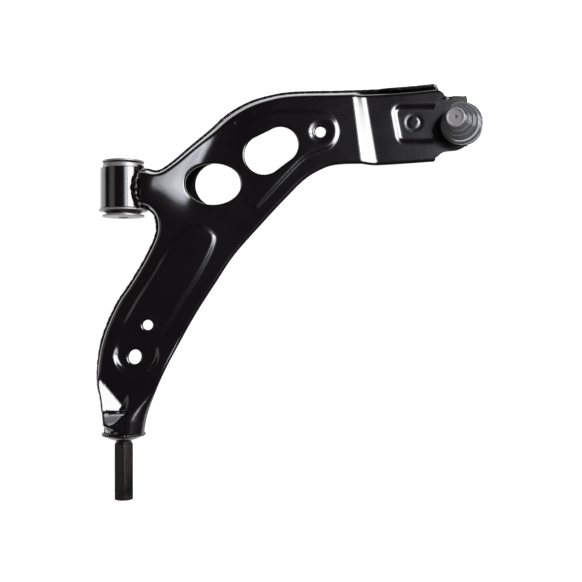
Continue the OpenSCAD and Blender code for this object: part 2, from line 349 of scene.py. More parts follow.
def sheet_points(outline, walls, holes, features):
    """Plan points to triangulate: the edges first, then the rings, then an even grid."""
    rings = [shifted(line, -g) for line, *_ in walls for g in BEND_RINGS]
    for hole in holes:
        centre = hole.mean(0)
        spread = hole - centre
        length = np.linalg.norm(spread, axis=1)[:, None]
        rings += [centre + spread * (1 + g / length) for g in RIM_RINGS]
    for feature, width in features:
        side = to_left(np.vstack((feature[-1:], feature, feature[:1])))[1:-1]
        rings += [feature + side * g for g in np.linspace(-width, width, 7)]
    fixed = np.vstack([outline] + list(holes))
    extra = np.vstack(rings)
    keep = inside(extra, outline) & (line_distance(extra, outline, True) > 0.3)
    for hole in holes:
        keep &= ~inside(extra, hole) & (line_distance(extra, hole, True) > 0.25)
    extra = extra[keep]
    low, high = outline.min(0), outline.max(0)
    gx, gy = np.meshgrid(
        np.arange(low[0], high[0], PITCH), np.arange(low[1], high[1], PITCH * 0.866)
    )
    gx[1::2] += PITCH / 2
    left, right, back, front = PIN_END
    fx, fy = np.meshgrid(np.arange(left, right, FINE_PITCH), np.arange(back, front, FINE_PITCH))
    grid = np.vstack((
        np.column_stack((gx.ravel(), gy.ravel())), np.column_stack((fx.ravel(), fy.ravel())),
    ))
    grid = grid[inside(grid, outline) & (line_distance(grid, outline, True) > 0.6)]
    for hole in holes:
        grid = grid[~inside(grid, hole)]
    taken = set()
    for x, y in np.vstack((fixed, extra)):
        i, j = int(x // FINE_PITCH), int(y // FINE_PITCH)
        taken.update((i + a, j + b) for a in (-1, 0, 1) for b in (-1, 0, 1))
    clear = [(int(x // FINE_PITCH), int(y // FINE_PITCH)) not in taken for x, y in grid]
    return np.vstack((fixed, extra, grid[clear]))


def triangulated(points, outline, holes):
    """The points joined into triangles between the outline and the holes."""
    edges, start = [], 0
    for loop in [outline] + list(holes):
        count = len(loop)
        edges += [(start + i, start + (i + 1) % count) for i in range(count)]
        start += count
    vectors = [Vector(p) for p in points]
    flat, _, faces, _, _, _ = delaunay_2d_cdt(vectors, edges, [], 0, 1e-4, False)
    flat, faces = np.array(flat), np.array(faces)
    middle = flat[faces].mean(1)
    good = inside(middle, outline)
    for hole in holes:
        good &= ~inside(middle, hole)
    faces = faces[good]
    used = np.unique(faces)
    renumber = np.full(len(flat), -1)
    renumber[used] = np.arange(len(used))
    return flat[used], renumber[faces]


def pull_walls(bm, ends):
    """Extrude the edge between each vertex's upper and lower end, in even steps."""
    border = [e for e in bm.edges
              if len(e.link_faces) == 1 and e.verts[0] in ends and e.verts[1] in ends]
    for share in np.linspace(0, 1, WALL_STEPS + 1)[1:]:
        made = bmesh.ops.extrude_edge_only(bm, edges=border)["geom"]
        moved = {}
        for v in (g for g in made if isinstance(g, bmesh.types.BMVert)):
            before = next(e.other_vert(v) for e in v.link_edges
                          if e.other_vert(v) in ends and (e.other_vert(v).co - v.co).length < 1e-9)
            moved[v] = ends[before]
        for v, (upper, lower) in moved.items():
            v.co = upper.lerp(lower, share) * MM
        ends = moved
        border = [g for g in made if isinstance(g, bmesh.types.BMEdge) and len(g.link_faces) == 1
                  and g.verts[0] in moved and g.verts[1] in moved]


def put_in_order(bm):
    """Order a mesh by place, since extruding adds its parts in an order that varies."""
    weights = Vector((1, 37.1, 911.7))
    bm.verts.sort(key=lambda v: v.co.dot(weights))
    bm.edges.sort(key=lambda e: (e.verts[0].co + e.verts[1].co).dot(weights))
    bm.faces.sort(key=lambda f: f.calc_center_median().dot(weights))


def sheet_mesh(outline, walls, holes, features, height, lip, turned):
    """A pressed sheet: a triangulated top, eased into leaning side walls.

    Each wall is its line in plan, how far it leans out, its bend radius, the share of the
    bend that is used and the height of its foot. Each feature is a pressed boundary with the
    half width that needs fine faces. lip is the radius of the turned-in hole edges.
    """
    full_wall = 8                     # a wall shorter than this leans less
    points = sheet_points(outline, walls, holes, features)
    flat, faces = triangulated(points, outline, holes)
    top = height(flat)
    drop = np.zeros(len(flat))
    foot = np.zeros((len(flat), 3))
    on_wall = np.zeros(len(flat), bool)
    for line, lean, radius, share, level in walls:
        bend = at(radius, flat)
        away = line_distance(flat, line, False)
        inward = np.clip(share * bend - away, 0, bend)
        drop = np.maximum(drop, bend - np.sqrt(np.maximum(bend**2 - inward**2, 0)))
        here = np.flatnonzero(away < 0.02)
        near = np.argmin(np.linalg.norm(flat[here][:, None] - line[None], axis=2), axis=1)
        down = np.minimum(at(level, flat[here]), (top - drop)[here] - 0.4)
        out = at(lean, flat[here]) * np.clip(((top - drop)[here] - down) / full_wall, 0, 1)
        foot[here, :2] = flat[here] + to_left(line)[near] * out[:, None]
        foot[here, 2] = down
        on_wall[here] = True
    top = top - drop
    for hole in holes if lip else []:
        near = np.clip(lip - line_distance(flat, hole, True), 0, lip)
        top -= (lip - np.sqrt(np.maximum(lip**2 - near**2, 0))) * 0.9

    bm = bmesh.new()
    verts = [bm.verts.new((x * MM, y * MM, z * MM)) for (x, y), z in zip(flat, top)]
    for a, b, c in faces:
        face = bm.faces.new((verts[a], verts[b], verts[c]))
        face.normal_update()
        if face.normal.z < 0:
            face.normal_flip()
    pull_walls(bm, {
        verts[i]: (Vector((*flat[i], top[i])), Vector(foot[i])) for i in np.flatnonzero(on_wall)
    })
    if turned:
        bmesh.ops.scale(bm, vec=(1, 1, -1), verts=bm.verts)
        bmesh.ops.reverse_faces(bm, faces=bm.faces)
    for face in bm.faces:
        face.smooth = True
    put_in_order(bm)
    return bm


def thicken(piece, thickness):
    """Give the sheet its thickness inwards, and keep its cut edges crisp."""
    solid = piece.modifiers.new("sheet", "SOLIDIFY")
    solid.thickness = thickness * MM
    solid.offset = -1
    solid.use_even_offset = False
    crisp = piece.modifiers.new("crisp_edges", "EDGE_SPLIT")
    crisp.split_angle = math.radians(42)


# ---------------------------------------------------------------- material helpers

class Graph:
    """Short calls for making and joining the nodes of one material or group."""

    def __init__(self, tree):
        self.tree = tree
        tree.nodes.clear()

    def node(self, kind, inputs=None, **settings):
        node = self.tree.nodes.new(kind)
        for key, value in settings.items():
            setattr(node, key, value)
        for key, value in (inputs or {}).items():
            self.feed(node.inputs[key], value)
        return node

    def feed(self, socket, value):
        if isinstance(value, bpy.types.NodeSocket):
            self.tree.links.new(value, socket)
        else:
            socket.default_value = value

    def noise(self, place, scale, detail=4.0, rough=0.5):
        node = self.node("ShaderNodeTexNoise", {
            "Vector": place, "Scale": scale, "Detail": detail, "Roughness": rough,
        })
        return node.outputs["Fac"]

    def span(self, value, low, high, out_low=0.0, out_high=1.0):
        node = self.node("ShaderNodeMapRange", {
            "Value": value, "From Min": low, "From Max": high,
            "To Min": out_low, "To Max": out_high,
        })
        return node.outputs["Result"]

    def math(self, operation, a, b=0.0):
        node = self.node("ShaderNodeMath", operation=operation)
        self.feed(node.inputs[0], a)
        self.feed(node.inputs[1], b)
        return node.outputs[0]

    def mix(self, share, a, b):
        node = self.node("ShaderNodeMix", data_type="RGBA")
        self.feed(node.inputs["Factor"], share)
        self.feed(node.inputs["A"], a)
        self.feed(node.inputs["B"], b)
        return node.outputs["Result"]


def colour(value):
    return (*value, 1.0)


def group(name, inputs, outputs):
    """A shader node group with named sockets, and the graph to fill it with."""
    tree = bpy.data.node_groups.new(name, "ShaderNodeTree")
    graph = Graph(tree)
    for label, kind, default in inputs:
        socket = tree.interface.new_socket(label, in_out="INPUT", socket_type=kind)
        socket.default_value = default
    for label, kind in outputs:
        tree.interface.new_socket(label, in_out="OUTPUT", socket_type=kind)
    entry = graph.node("NodeGroupInput")
    leave = graph.node("NodeGroupOutput")
    return graph, entry.outputs, leave.inputs


FLOAT = "NodeSocketFloat"


def surface_groups():
    """The two effects that several finishes share."""
    if "Paint Skin" in bpy.data.node_groups:
        return
    g, into, out = group(
        "Paint Skin",
        [("Peel Scale", FLOAT, 320.0), ("Gloss", FLOAT, 0.12), ("Dust", FLOAT, 0.3)],
        [("Dust Mask", FLOAT), ("Roughness", FLOAT), ("Height", FLOAT)],
    )
    place = g.node("ShaderNodeTexCoord").outputs["Object"]
    peel = g.noise(place, into["Peel Scale"], 2.0, 0.4)
    cloud = g.noise(place, 14.0, 5.0, 0.6)
    speck = g.noise(place, 900.0, 1.0, 0.5)
    dusty = g.math("MULTIPLY", g.span(speck, 0.7, 0.78), g.span(cloud, 0.4, 0.7))
    mask = g.math("MULTIPLY", dusty, into["Dust"])
    streak = g.span(cloud, 0.3, 0.75, 0.0, 0.07)
    g.feed(out["Dust Mask"], mask)
    g.feed(out["Roughness"], g.math("ADD", g.math("ADD", into["Gloss"], streak),
                                    g.math("MULTIPLY", mask, 0.3)))
    g.feed(out["Height"], peel)

    g, into, out = group(
        "Metal Grain",
        [("Stretch", FLOAT, 12.0), ("Scale", FLOAT, 260.0), ("Polish", FLOAT, 0.25)],
        [("Tone", FLOAT), ("Roughness", FLOAT), ("Height", FLOAT)],
    )
    place = g.node("ShaderNodeTexCoord").outputs["Object"]
    long = g.node("ShaderNodeCombineXYZ", {"X": 1.0, "Y": into["Stretch"], "Z": 1.0})
    drawn = g.node("ShaderNodeVectorMath", operation="MULTIPLY")
    g.feed(drawn.inputs[0], place)
    g.feed(drawn.inputs[1], long.outputs[0])
    lines = g.noise(drawn.outputs[0], into["Scale"], 4.0, 0.6)
    cloud = g.noise(place, 40.0, 4.0, 0.6)
    g.feed(out["Tone"], g.math("ADD", g.math("MULTIPLY", lines, 0.5),
                               g.math("MULTIPLY", cloud, 0.5)))
    g.feed(out["Roughness"], g.math("ADD", into["Polish"], g.span(cloud, 0.3, 0.7, -0.06, 0.1)))
    g.feed(out["Height"], lines)


def shared(g, name, values):
    """The outputs of a shared effect, used in a material with these values."""
    node = g.node("ShaderNodeGroup", node_tree=bpy.data.node_groups[name])
    for key, value in values.items():
        g.feed(node.inputs[key], value)
    return node.outputs


def finish(g, sockets, bump=None, strength=0.1, distance=0.0004):
    """The Principled shader of one finish, with its bump."""
    shader = g.node("ShaderNodeBsdfPrincipled", sockets)
    if bump is not None:
        relief = g.node("ShaderNodeBump", {
            "Strength": strength, "Distance": distance, "Height": bump,
        })
        g.feed(shader.inputs["Normal"], relief.outputs["Normal"])
    out = g.node("ShaderNodeOutputMaterial")
    g.feed(out.inputs["Surface"], shader.outputs["BSDF"])
    return shader


def material(name):
    """The named finish, with a graph to fill in when it is new."""
    surface_groups()
    made = bpy.data.materials.get("finish_" + name)
    if made:
        return made, None
    made = bpy.data.materials.new("finish_" + name)
    made.use_nodes = True
    return made, Graph(made.node_tree)


def black_paint():
    made, g = material("black_paint")
    if g:
        look = bpy.context.scene.arm_finishes
        skin = shared(g, "Paint Skin", {
            "Peel Scale": 260.0, "Gloss": look.paint_gloss, "Dust": 0.15,
        })
        place = g.node("ShaderNodeTexCoord").outputs["Object"]
        tint = g.span(g.noise(place, 9.0, 3.0), 0.35, 0.65)
        base = g.mix(tint, colour(look.paint), colour([c * 0.65 for c in look.paint]))
        base = g.mix(skin["Dust Mask"], base, colour((0.16, 0.15, 0.15)))
        finish(g, {
            "Base Color": base, "Roughness": skin["Roughness"], "Specular IOR Level": 0.9,
            "Coat Weight": 1.0, "Coat Roughness": 0.09,
        }, skin["Height"], 0.05, 0.0003)
    return made


def painted_weld():
    made, g = material("painted_weld")
    if g:
        look = bpy.context.scene.arm_finishes
        skin = shared(g, "Paint Skin", {"Peel Scale": 500.0, "Gloss": 0.16, "Dust": 0.5})
        place = g.node("ShaderNodeTexCoord").outputs["Object"]
        lumps = g.math("ADD", g.noise(place, 420.0, 3.0), g.math("MULTIPLY", skin["Height"], 0.3))
        base = g.mix(skin["Dust Mask"], colour(look.paint), colour((0.2, 0.19, 0.18)))
        finish(g, {
            "Base Color": base, "Roughness": skin["Roughness"], "Specular IOR Level": 0.55,
        }, lumps, 0.35, 0.0008)
    return made


def metal(name, tone, dark, polish, stretch, scale, metallic=1.0, strength=0.08):
    """A grained metal that varies between two tones."""
    made, g = material(name)
    if g:
        grain = shared(g, "Metal Grain", {"Stretch": stretch, "Scale": scale, "Polish": polish})
        base = g.mix(g.span(grain["Tone"], 0.35, 0.65), colour(dark), colour(tone))
        finish(g, {
            "Base Color": base, "Roughness": grain["Roughness"], "Metallic": metallic,
        }, grain["Height"], strength, 0.0002)
    return made


def zinc_plate():
    tone = bpy.context.scene.arm_finishes.zinc
    return metal("zinc_plate", tone, [c * 0.72 for c in tone], 0.42, 3.0, 300.0, 0.6)


def oiled_steel():
    tone = bpy.context.scene.arm_finishes.pin_steel
    return metal("oiled_steel", tone, [c * 0.5 for c in tone], 0.3, 0.15, 500.0, 0.85, 0.15)


def dark_steel():
    return metal("dark_steel", (0.1, 0.095, 0.1), (0.04, 0.038, 0.04), 0.38, 1.0, 300.0, 0.8, 0.15)


def ground_steel():
    return metal("ground_steel", (0.55, 0.55, 0.56), (0.35, 0.35, 0.36), 0.2, 1.0, 600.0)


def black_rubber():
    made, g = material("black_rubber")
    if g:
        place = g.node("ShaderNodeTexCoord").outputs["Object"]
        fine = g.noise(place, 700.0, 3.0, 0.6)
        bloom = g.span(g.noise(place, 25.0, 4.0), 0.45, 0.75)
        base = g.mix(bloom, colour((0.012, 0.012, 0.013)), colour((0.03, 0.029, 0.028)))
        finish(g, {
            "Base Color": base, "Roughness": g.span(fine, 0.3, 0.7, 0.45, 0.65),
        }, fine, 0.2, 0.0003)
    return made


def liner_plastic():
    made, g = material("liner_plastic")
    if g:
        place = g.node("ShaderNodeTexCoord").outputs["Object"]
        grain = g.noise(place, 200.0, 3.0)
        base = g.mix(grain, colour((0.72, 0.7, 0.62)), colour((0.8, 0.78, 0.7)))
        finish(g, {"Base Color": base, "Roughness": g.span(grain, 0.3, 0.7, 0.35, 0.5)}, grain)
    return made


def cap_plastic():
    made, g = material("cap_plastic")
    if g:
        look = bpy.context.scene.arm_finishes
        place = g.node("ShaderNodeTexCoord").outputs["Object"]
        cloud = g.noise(place, 70.0, 4.0, 0.6)
        scuff = g.noise(place, 420.0, 3.0, 0.6)
        along = g.node("ShaderNodeVectorMath", operation="DOT_PRODUCT")
        g.feed(along.inputs[0], place)
        g.feed(along.inputs[1], tuple(STUD_AXIS))
        # the cap's flat end is painted lighter: a painted reflection of the overhead lights on it
        ball = STUD_AXIS.dot(BALL)
        tip = g.span(along.outputs["Value"], ball + 49.5 * MM, ball + 51.2 * MM)
        base = g.mix(cloud, colour(look.cap), colour([c * 0.8 for c in look.cap]))
        base = g.mix(tip, base, colour((0.42, 0.4, 0.42)))
        finish(g, {
            "Base Color": base,
            "Roughness": g.span(scuff, 0.3, 0.7, 0.12, 0.22),
            "Alpha": g.span(cloud, 0.3, 0.7, look.cap_cover - 0.08, look.cap_cover + 0.08),
            "Coat Weight": 1.0, "Coat Roughness": 0.05,
        }, scuff, 0.03, 0.0003)
    return made


def pale_floor():
    made, g = material("pale_floor")
    if g:
        finish(g, {
            "Base Color": colour((0.35, 0.35, 0.35)), "Roughness": 0.9,
            "Emission Color": colour((1, 1, 1)), "Emission Strength": 1.0,
        })
    return made


def dress(piece, finish_of):
    """Give the piece its finish, and the slot of the same name."""
    piece.data.materials.clear()
    piece.data.materials.append(finish_of())
    return piece


# ---------------------------------------------------------------- skin heights, in mm

def step_run(points, size):
    """How far past the slanted step's upper edge each point lies."""
    turn = math.radians(size.step_slant)
    return (points[:, 0] - 245) * math.cos(turn) + (points[:, 1] - 62) * math.sin(turn)


def distance_from(centre, points):
    return np.linalg.norm(points - centre, axis=1)


def soft_max(a, b, ease):
    """The larger of the two, with the change from one to the other eased."""
    gap = np.clip(0.5 + 0.5 * (a - b) / ease, 0, 1)
    return b * (1 - gap) + a * gap + ease * gap * (1 - gap)


def neck_height(points):
    """Extra height of the domed neck, which falls ever more steeply to the large hole."""
    x, y = points.T
    top, regained = 10.0, 2.4
    run = x - 22 - 0.25 * (np.hypot(y - 4, 10) + y - 4)
    far = np.linspace(0, 100, 201)
    slope = (0.225 * smooth(far, 0, 11) + 0.08 * smooth(far, 12, 44)) * (1 - smooth(far, 42, 60))
    fall = np.interp(run, far, np.cumsum(slope) * far[1])
    return (top - fall + regained * smooth(run, 62, 100)) * smooth(y, -46, 4)


def pin_end_height(points, z):
    """The pin end: a folded facet, a crease, a sunk facet and the round boss."""
    x, y = points.T
    z = z - 0.06 * np.clip(-y - 200, 0, 31)
    facet = 19.0 - 0.431 * (x + 20) - 0.291 * (y + 204)
    z = np.where(y < -190, soft_max(z, facet, 0.7), z)
    right = smooth(x, -2, 10)
    begin, end = 229 - 22 * right, 239 + 4 * right
    rise = np.clip((-y - begin) / (end - begin), 0, 1)
    rise = rise * rise * (3 - 2 * rise)
    z = z * (1 - rise) + BOSS_TOP * rise
    past = 0.668 * (x - 6.9) - 0.745 * (y + 234.5)
    sunk = (1 - smooth(past, -1.5, 1.5)) * smooth(-y, 231.6, 233.2) * (1 - smooth(-y, 244, 249))
    z = z * (1 - sunk) + (23.6 - 0.28 * (x + 16)) * sunk
    crease_y, crease_depth, crease_width = -232.3, 1.4, 1.1
    crease = np.exp(-((y - crease_y) / crease_width)**2)
    return z - crease_depth * crease * (1 - smooth(x, 6, 10))


def upper_height(points):
    """Height of the upper shell's outer skin over each point."""
    size = bpy.context.scene.arm_sizes
    x, y = points.T
    border = size.web - 1.6           # the web outside the raised panels
    z = border + neck_height(points) + 4.2 * smooth(-y, 150, 195)
    panel = smooth(depth_inside(points, MAIN_PANEL), -2.6, 2.6) * smooth(x, 120, 160)
    z = z * (1 - panel) + size.web * panel
    panel = smooth(depth_inside(points, LEG_PANEL), -3.0, 3.0)
    z = z * (1 - panel) + (size.web - 0.2 - 1.3 * smooth(-y, 125, 170)) * panel
    for hole, radius, depth in ((SMALL_HOLE, 10.5, 1.0), (LEG_HOLE, 10.5, -0.5)):
        away = distance_from(hole.mean(0), points)
        z -= depth * (1 - smooth(away, radius - 1.6, radius + 1.6))
    run = 11.5 + 0.035 * (94 - y)
    z -= ramp(step_run(points, size) - 1.2, run, 2.4) * (border - size.end_plate)
    z -= size.panel_depth * smooth(depth_inside(points, END_PANEL), -3.3, 3.3)
    dimple_radius, dimple_depth, dimple_width = 7.2, 0.45, 1.2
    away = distance_from(DIMPLE_CENTRE, points)
    z -= dimple_depth * np.exp(-((away - dimple_radius) / dimple_width)**2)
    dent_depth, dent_radius = 1.2, 1.4
    for dent in DENT_CENTRES:
        z -= dent_depth * np.exp(-(distance_from(dent, points) / dent_radius)**2)
    return pin_end_height(points, z)


def lower_height(points):
    """Depth of the lower shell's outer skin under each point."""
    size = bpy.context.scene.arm_sizes
    y = points[:, 1]
    z = size.web + np.clip(neck_height(points), 0, 4) + 4 * smooth(-y, 190, 230)
    z -= ramp(step_run(points, size), 15, 2.5) * (size.web - size.floor)
    dishes, dish_depth = (((55, -75), 12), ((207, 60), 22)), 1.8
    for centre, radius in dishes:
        z -= dish_depth * (1 - smooth(distance_from(centre, points), radius - 3, radius + 3))
    rise = smooth(-y, 231, 240)
    return z * (1 - rise) + BOSS_TOP * rise


def boss_bend(near, far):
    """A bend radius that opens out to the boss's own radius between two distances."""
    return lambda p: 4.2 + 17 * smooth(-p[:, 1], near, far)


def upper_walls(size):
    """The side walls of the upper shell, in sheet_mesh's terms."""
    gap = size.seam_gap

    def front_lean(points):
        return 5 - 3 * smooth(points[:, 0], 262, 280)

    def inner_bend(points):
        return 4.2 - 2.4 * smooth(-points[:, 1], 188, 204) + 18 * smooth(-points[:, 1], 245, 252)
    return [
        (shifted(spline(FRONT_SIDE), -gap - 5), front_lean, size.bend, 0.95, 0.6),
        (spline(REAR_SIDE), -2.4, boss_bend(208, 242), 0.86, -0.6),
        (shifted(spline(INNER_SIDE), -gap - 2), 2.0, inner_bend, 0.95, 0.6),
    ]


def lower_walls(size):
    """The side walls of the lower shell, in sheet_mesh's terms."""
    def front_foot(points):
        x = points[:, 0]
        return -0.5 - 3.5 * smooth(x, 270, 280) + 12 * smooth(x, 327, 335)
    return [
        (shifted(spline(FRONT_SIDE + FRONT_CORNER), -1.2), 1.2, size.bend, 0.95, front_foot),
        (shifted(spline(REAR_SIDE), -4.4), 0.8, boss_bend(215, 245), 0.95, 0.7),
        (shifted(spline(INNER_SIDE), -1), 1.0, boss_bend(215, 245), 0.95, -0.5),
    ]


class ArmSizes(bpy.types.PropertyGroup):
    web: bpy.props.FloatProperty(
        name="Web height", description="Height of the web from the bush axis, in mm", default=15.0)
    end_plate: bpy.props.FloatProperty(
        name="End plate", description="Height of the plate by the ball joint, in mm", default=8.0)
    floor: bpy.props.FloatProperty(
        name="Floor depth", description="Depth of the lower shell under the joint, in mm",
        default=12.0)
    sheet: bpy.props.FloatProperty(
        name="Sheet", description="Thickness of the pressed sheet, in mm", default=3.0, min=1.0)
    bend: bpy.props.FloatProperty(
        name="Bend radius", description="Outer radius between web and wall, in mm", default=4.2)
    seam_gap: bpy.props.FloatProperty(
        name="Seam step", description="Distance between the shells' outer walls, in mm",
        default=1.4)
    step_slant: bpy.props.FloatProperty(
        name="Step slant", description="Turn of the step across the arm, in degrees", default=7.0)
    panel_depth: bpy.props.FloatProperty(
        name="Panel depth", description="Depth of the recess in the end plate, in mm", default=2.0)


class ArmFinishes(bpy.types.PropertyGroup):
    paint: bpy.props.FloatVectorProperty(
        name="Paint", description="Colour of the black paint", subtype="COLOR",
        default=(0.0042, 0.0031, 0.0042), min=0, max=1)
    paint_gloss: bpy.props.FloatProperty(
        name="Paint roughness", description="Roughness of the fresh paint", default=0.15)
    zinc: bpy.props.FloatVectorProperty(
        name="Zinc", description="Colour of the zinc plate", subtype="COLOR",
        default=(0.46, 0.44, 0.45), min=0, max=1)
    pin_steel: bpy.props.FloatVectorProperty(
        name="Pin steel", description="Colour of the oiled pin", subtype="COLOR",
        default=(0.065, 0.056, 0.054), min=0, max=1)
    cap: bpy.props.FloatVectorProperty(
        name="Cap plastic", description="Colour of the transport cap", subtype="COLOR",
        default=(0.115, 0.117, 0.137), min=0, max=1)
    cap_cover: bpy.props.FloatProperty(
        name="Cap cover", description="How much the cap hides what is in it", default=0.86,
        min=0, max=1, subtype="FACTOR")


# ---------------------------------------------------------------- operators, one per piece

class Make(bpy.types.Operator):
    bl_options = {"REGISTER", "UNDO"}

    @classmethod
    def poll(cls, context):
        return context.scene is not None


def press_shell(name, node, walls, end, holes, features, height, lip, turned):
    """Mesh one shell from its walls, its outer end and its holes, then thicken and paint it."""
    front, rear, inner = (wall[0] for wall in walls)
    outline = np.vstack((front, spline(end, 2.0), rear, inner))
    bm = sheet_mesh(outline, walls, holes, features, height, lip, turned)
    piece = new_object(name, bm, "arm", node)
    thicken(piece, bpy.context.scene.arm_sizes.sheet)
    dress(piece, black_paint)


class ARM_OT_upper_shell(Make):
    """Press the upper shell with its neck, step, panels and holes"""
    bl_idname = "arm.upper_shell"
    bl_label = "Upper shell"

    def execute(self, context):
        holes = [LARGE_HOLE, LONG_HOLE, SMALL_HOLE, LEG_HOLE, LEG_SLOT]
        features = [(MAIN_PANEL, 3), (LEG_PANEL, 3.4), (END_PANEL_EDGE, 3.6)]
        press_shell("pressed_upper_shell", "upper_shell", upper_walls(context.scene.arm_sizes),
                    UPPER_END, holes, features, upper_height, 2.4, False)
        return {"FINISHED"}


class ARM_OT_lower_shell(Make):
    """Press the lower shell with the tongue that carries the ball joint"""
    bl_idname = "arm.lower_shell"
    bl_label = "Lower shell"

    def execute(self, context):
        holes = [LARGE_HOLE_BELOW, LONG_HOLE_BELOW, *SMALL_HOLES_BELOW]
        press_shell("pressed_lower_shell", "lower_shell", lower_walls(context.scene.arm_sizes),
                    LOWER_END, holes, [], lower_height, 0, True)
        return {"FINISHED"}


def bead(name, centre_line, heights, radius, seed, nodes, squash=0.75, ripple=1.7):
    """A welded bead swept along a line of points in mm, with overlapping ripples."""
    line = np.column_stack((centre_line, np.broadcast_to(heights, len(centre_line))))
    step = np.gradient(line, axis=0)
    step /= np.linalg.norm(step, axis=1)[:, None]
    run = np.concatenate(([0], np.cumsum(np.linalg.norm(np.diff(line, axis=0), axis=1))))
    bm = bmesh.new()
    sides = 12
    rings = []
    for point, ahead, far in zip(line, step, run):
        side = np.cross((0, 0, 1), ahead)
        side /= np.linalg.norm(side)
        up = np.cross(ahead, side)
        wave = (far / ripple) % 1
        swell = 0.8 + 0.24 * wave**0.6 + 0.3 * noise.noise((far * 0.21, seed, 0.0))
        swell *= min(1, 0.35 + far / 3, 0.35 + (run[-1] - far) / 3)
        ring = []
        for k in range(sides):
            a = 2 * math.pi * k / sides
            lump = 1 + 0.18 * noise.noise((far * 0.7, k * 1.3, seed))
            offset = side * math.cos(a) * radius + up * math.sin(a) * radius * squash
            ring.append(bm.verts.new(Vector(point + offset * swell * lump) * MM))
        rings.append(ring)
    bridge(bm, rings, False)
    shade(bm, 70)
    return dress(new_object(name, bm, "arm", *nodes), painted_weld)


def ring_bead(name, radius, height, thick, seed, nodes):
    """A closed weld bead round the bush axis."""
    profile = [(thick * math.cos(a), thick * math.sin(a))
               for a in np.linspace(0, 2 * math.pi, 12, endpoint=False)]
    bm = bmesh.new()
    rings = []
    count = 200
    for k in range(count):
        a = 2 * math.pi * k / count
        wave = (k / count * 44) % 1
        c, s = math.cos(a), math.sin(a)
        swell = 0.8 + 0.25 * wave**0.6 + 0.1 * noise.noise((c * 3, s * 3, seed))
        rings.append([bm.verts.new(Vector((
            (radius + r * swell) * c, height + h * swell, (radius + r * swell) * s
        )) * MM) for r, h in profile])
    bridge(bm, rings, True)
    shade(bm, 70)
    return dress(new_object(name, bm, "arm", *nodes), painted_weld)


class ARM_OT_seam_welds(Make):
    """Lay the weld beads along the seams, at the eye tube and round the pin's collar"""
    bl_idname = "arm.seam_welds"
    bl_label = "Welds"

    def execute(self, context):
        front = shifted(spline(FRONT_SIDE, 0.5), -1.1)
        level = 0.9 + 3.4 * smooth(front[:, 0], 268, 280)
        bead("front_seam_bead", front[30:-12], level[30:-12], 1.15, 1.0, ["front_seam_weld"])
        inner = shifted(spline(INNER_SIDE, 0.5), -0.9)
        bead("inner_seam_bead", inner[30:-30], 1.4, 1.9, 2.0, ["inner_seam_weld"], 1.0, 2.3)
        rear = shifted(spline(REAR_SIDE, 0.5), -3.4)
        bead("rear_seam_bead", rear[20:-60], -1.0, 1.5, 3.0, ["rear_seam_weld"])
        # the eye beads wander across the top and the bottom of the tube
        reach = np.linspace(-20.5, 20.5, 110)
        for name, sign, nodes in (("upper_eye_bead", 1, ["eye_welds"]), ("lower_eye_bead", -1, [])):
            wander = np.array([1.6 * noise.noise((y * 0.14, sign, 5.0)) for y in reach])
            across = 14.6 + 6.4 * (np.abs(reach + 1.5) / 21)**2.6 + wander
            tall = np.sqrt(TUBE_RADIUS**2 - np.minimum(across, 23)**2)
            bead(name, np.column_stack((across, reach)), sign * tall, 4.9, 4.0 + sign, nodes,
                 0.85, 6.5)
        ring_bead("collar_bead", 21.0, -256.9, 1.9, 6.0, ["pin_weld"])
        return {"FINISHED"}


class ARM_OT_eye_tube(Make):
    """Turn the eye tube that holds the front bush"""
    bl_idname = "arm.eye_tube"
    bl_label = "Eye tube"

    def execute(self, context):
        outer, half = TUBE_RADIUS, TUBE_HALF
        profile = rounded([
            (21.5, -half, 0.4), (outer, -half, 0.9), (outer, half, 0.9), (21.5, half, 0.4),
        ])
        lathe("turned_eye_tube", profile, ALONG_Y, "arm", ["eye_tube"], black_paint, 128)
        return {"FINISHED"}


class ARM_OT_front_bush(Make):
    """Build the bush: flanged sleeve, rubber, inner sleeve and end discs"""
    bl_idname = "arm.front_bush"
    bl_label = "Front bush"

    def execute(self, context):
        half, reach = TUBE_HALF, SLEEVE_HALF
        sleeve = rounded([
            (19.7, -half - 2, 0.3), (25.3, -half - 2, 0.8), (25.3, -half - 0.05, 0.7),
            (21.44, -half - 0.05, 0.1), (21.44, half + 4.2, 0.5), (19.7, half + 4.2, 0.3),
        ])
        lathe("flanged_bush_sleeve", sleeve, ALONG_Y, "arm", ["bush_outer_sleeve"], zinc_plate, 128)
        rubber = rounded([
            (10.35, -25.4, 0.4), (15, -24.4, 2), (18.4, -25.5, 1), (19.65, -23.6, 0.5),
            (19.65, 25.6, 0.5), (18.4, 26.6, 1), (15, 25.4, 2), (10.35, 26.4, 0.4),
        ])
        lathe("bush_rubber_body", rubber, ALONG_Y, "arm", ["bush_rubber"], black_rubber)
        core = rounded([
            (6.1, -reach, 0.7), (9.98, -reach, 0.4), (9.98, reach, 0.4), (6.1, reach, 0.7),
        ])
        lathe("bolted_inner_sleeve", core, ALONG_Y, "bush_core", ["bush_inner_sleeve"], zinc_plate)
        for name, side, node in (
            ("front_end_disc", ALONG_Y, "bush_front_disc"),
            ("rear_end_disc", BACK_Y, "bush_rear_disc"),
        ):
            disc = rounded([
                (10.02, reach - 1.8, 0.2), (17, reach - 1.8, 1.5), (19.5, reach - 2.6, 1.2),
                (21.8, reach - 2.6, 0.5), (22, reach - 0.6, 0.7), (18.5, reach - 0.5, 1.2),
                (16.5, reach, 1.2), (10.02, reach, 0.4),
            ])
            lathe(name, disc, side, "bush_core", [node], zinc_plate, 128)
        return {"FINISHED"}


